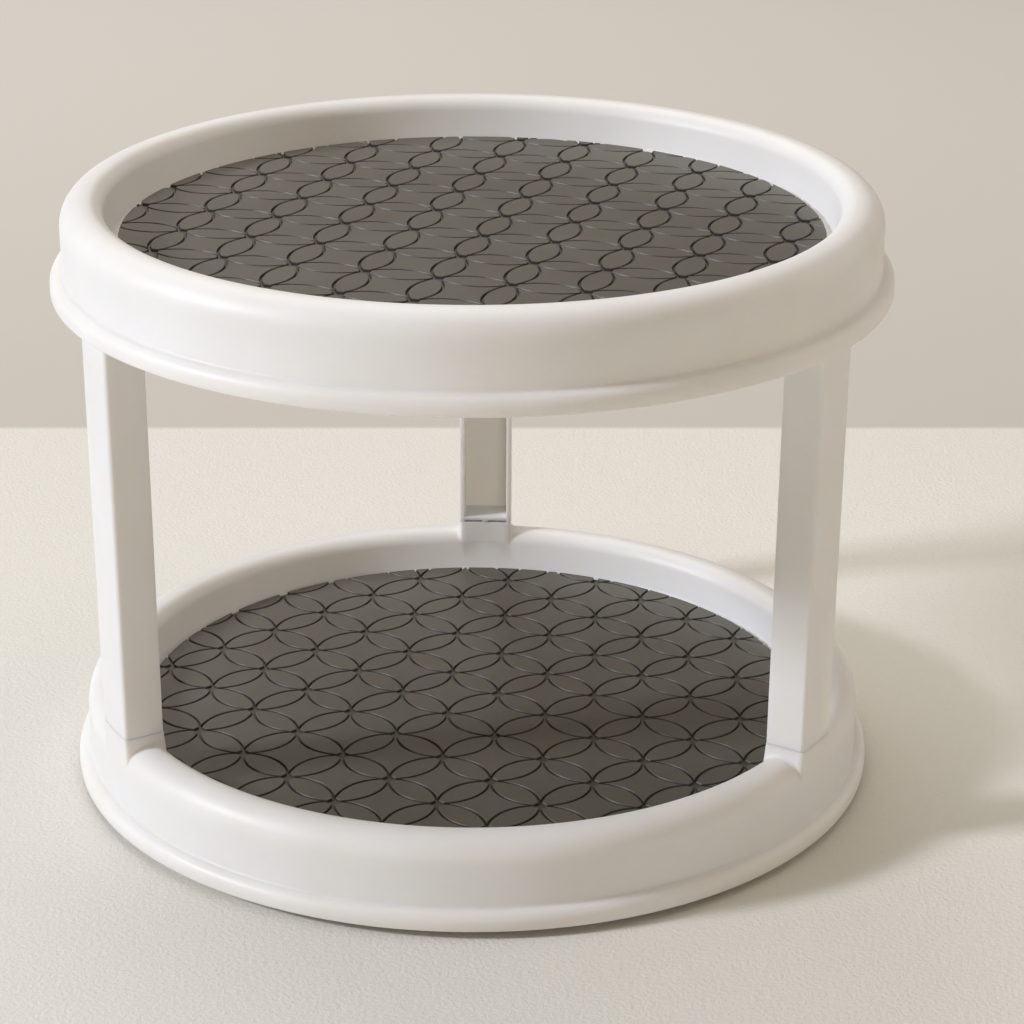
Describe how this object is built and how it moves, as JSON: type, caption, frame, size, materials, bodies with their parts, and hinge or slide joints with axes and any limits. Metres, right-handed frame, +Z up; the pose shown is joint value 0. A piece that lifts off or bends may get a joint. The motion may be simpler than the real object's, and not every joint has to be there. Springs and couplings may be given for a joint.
{
  "type": "two-tier lazy susan turntable",
  "caption": "Tiered kitchen turntable: round dished trays with non-slip mats, one above the other on channel posts, turning together on a roller ring over a low base.",
  "frame": {"origin": "on the table, under the turning axis, at the centre of the base", "axes": "+Z up along the turning axis, +Y towards the rear post, front of the picture towards -Y"},
  "size_m": [0.254, 0.254, 0.1859],
  "materials": {
    "white_polypropylene": "satin moulded white",
    "grey_rubber_mat": "matt dark warm grey with pressed grooves",
    "natural_acetal": "smooth off-white",
    "foot_rubber": "matt dark grey",
    "zinc_plated_steel": "bright zinc"
  },
  "bodies": {
    "base": {"base_plate": "white_polypropylene", "foot_1": "foot_rubber", "foot_2": "foot_rubber", "foot_3": "foot_rubber", "foot_4": "foot_rubber"},
    "turntable": {"lower_tray": "white_polypropylene", "lower_mat": "grey_rubber_mat", "post_rear": "white_polypropylene", "post_left": "white_polypropylene", "post_right": "white_polypropylene", "upper_tray": "white_polypropylene", "upper_mat": "grey_rubber_mat", "pivot_screw": "zinc_plated_steel"},
    "carrier": {"roller_carrier": "natural_acetal"},
    "roller_1": {"roller_1": "natural_acetal"},
    "roller_2": {"roller_2": "natural_acetal"},
    "roller_3": {"roller_3": "natural_acetal"},
    "roller_4": {"roller_4": "natural_acetal"},
    "roller_5": {"roller_5": "natural_acetal"},
    "roller_6": {"roller_6": "natural_acetal"}
  },
  "joints": [
    {"name": "turntable_spin", "type": "hinge", "parent": "base", "child": "turntable", "pos_m": [0, 0, 0.00885], "axis": [0, 0, 1], "continuous": true},
    {"name": "carrier_orbit", "type": "hinge", "parent": "base", "child": "carrier", "pos_m": [0, 0, 0.00885], "axis": [0, 0, 1], "continuous": true},
    {"name": "roller_1_spin", "type": "hinge", "parent": "carrier", "child": "roller_1", "pos_m": [0.084, 0, 0.00885], "axis": [1, 0, 0], "continuous": true},
    {"name": "roller_2_spin", "type": "hinge", "parent": "carrier", "child": "roller_2", "pos_m": [0.042, 0.07275, 0.00885], "axis": [0.5, 0.866, 0], "continuous": true},
    {"name": "roller_3_spin", "type": "hinge", "parent": "carrier", "child": "roller_3", "pos_m": [-0.042, 0.07275, 0.00885], "axis": [-0.5, 0.866, 0], "continuous": true},
    {"name": "roller_4_spin", "type": "hinge", "parent": "carrier", "child": "roller_4", "pos_m": [-0.084, 0, 0.00885], "axis": [-1, 0, 0], "continuous": true},
    {"name": "roller_5_spin", "type": "hinge", "parent": "carrier", "child": "roller_5", "pos_m": [-0.042, -0.07275, 0.00885], "axis": [-0.5, -0.866, 0], "continuous": true},
    {"name": "roller_6_spin", "type": "hinge", "parent": "carrier", "child": "roller_6", "pos_m": [0.042, -0.07275, 0.00885], "axis": [0.5, -0.866, 0], "continuous": true}
  ],
  "couplings": [
    {"joint": "carrier_orbit", "follows": "turntable_spin", "ratio": 0.5},
    {"joint": "roller_1_spin", "follows": "turntable_spin", "ratio": -9.1304},
    {"joint": "roller_2_spin", "follows": "turntable_spin", "ratio": -9.1304},
    {"joint": "roller_3_spin", "follows": "turntable_spin", "ratio": -9.1304},
    {"joint": "roller_4_spin", "follows": "turntable_spin", "ratio": -9.1304},
    {"joint": "roller_5_spin", "follows": "turntable_spin", "ratio": -9.1304},
    {"joint": "roller_6_spin", "follows": "turntable_spin", "ratio": -9.1304}
  ]
}
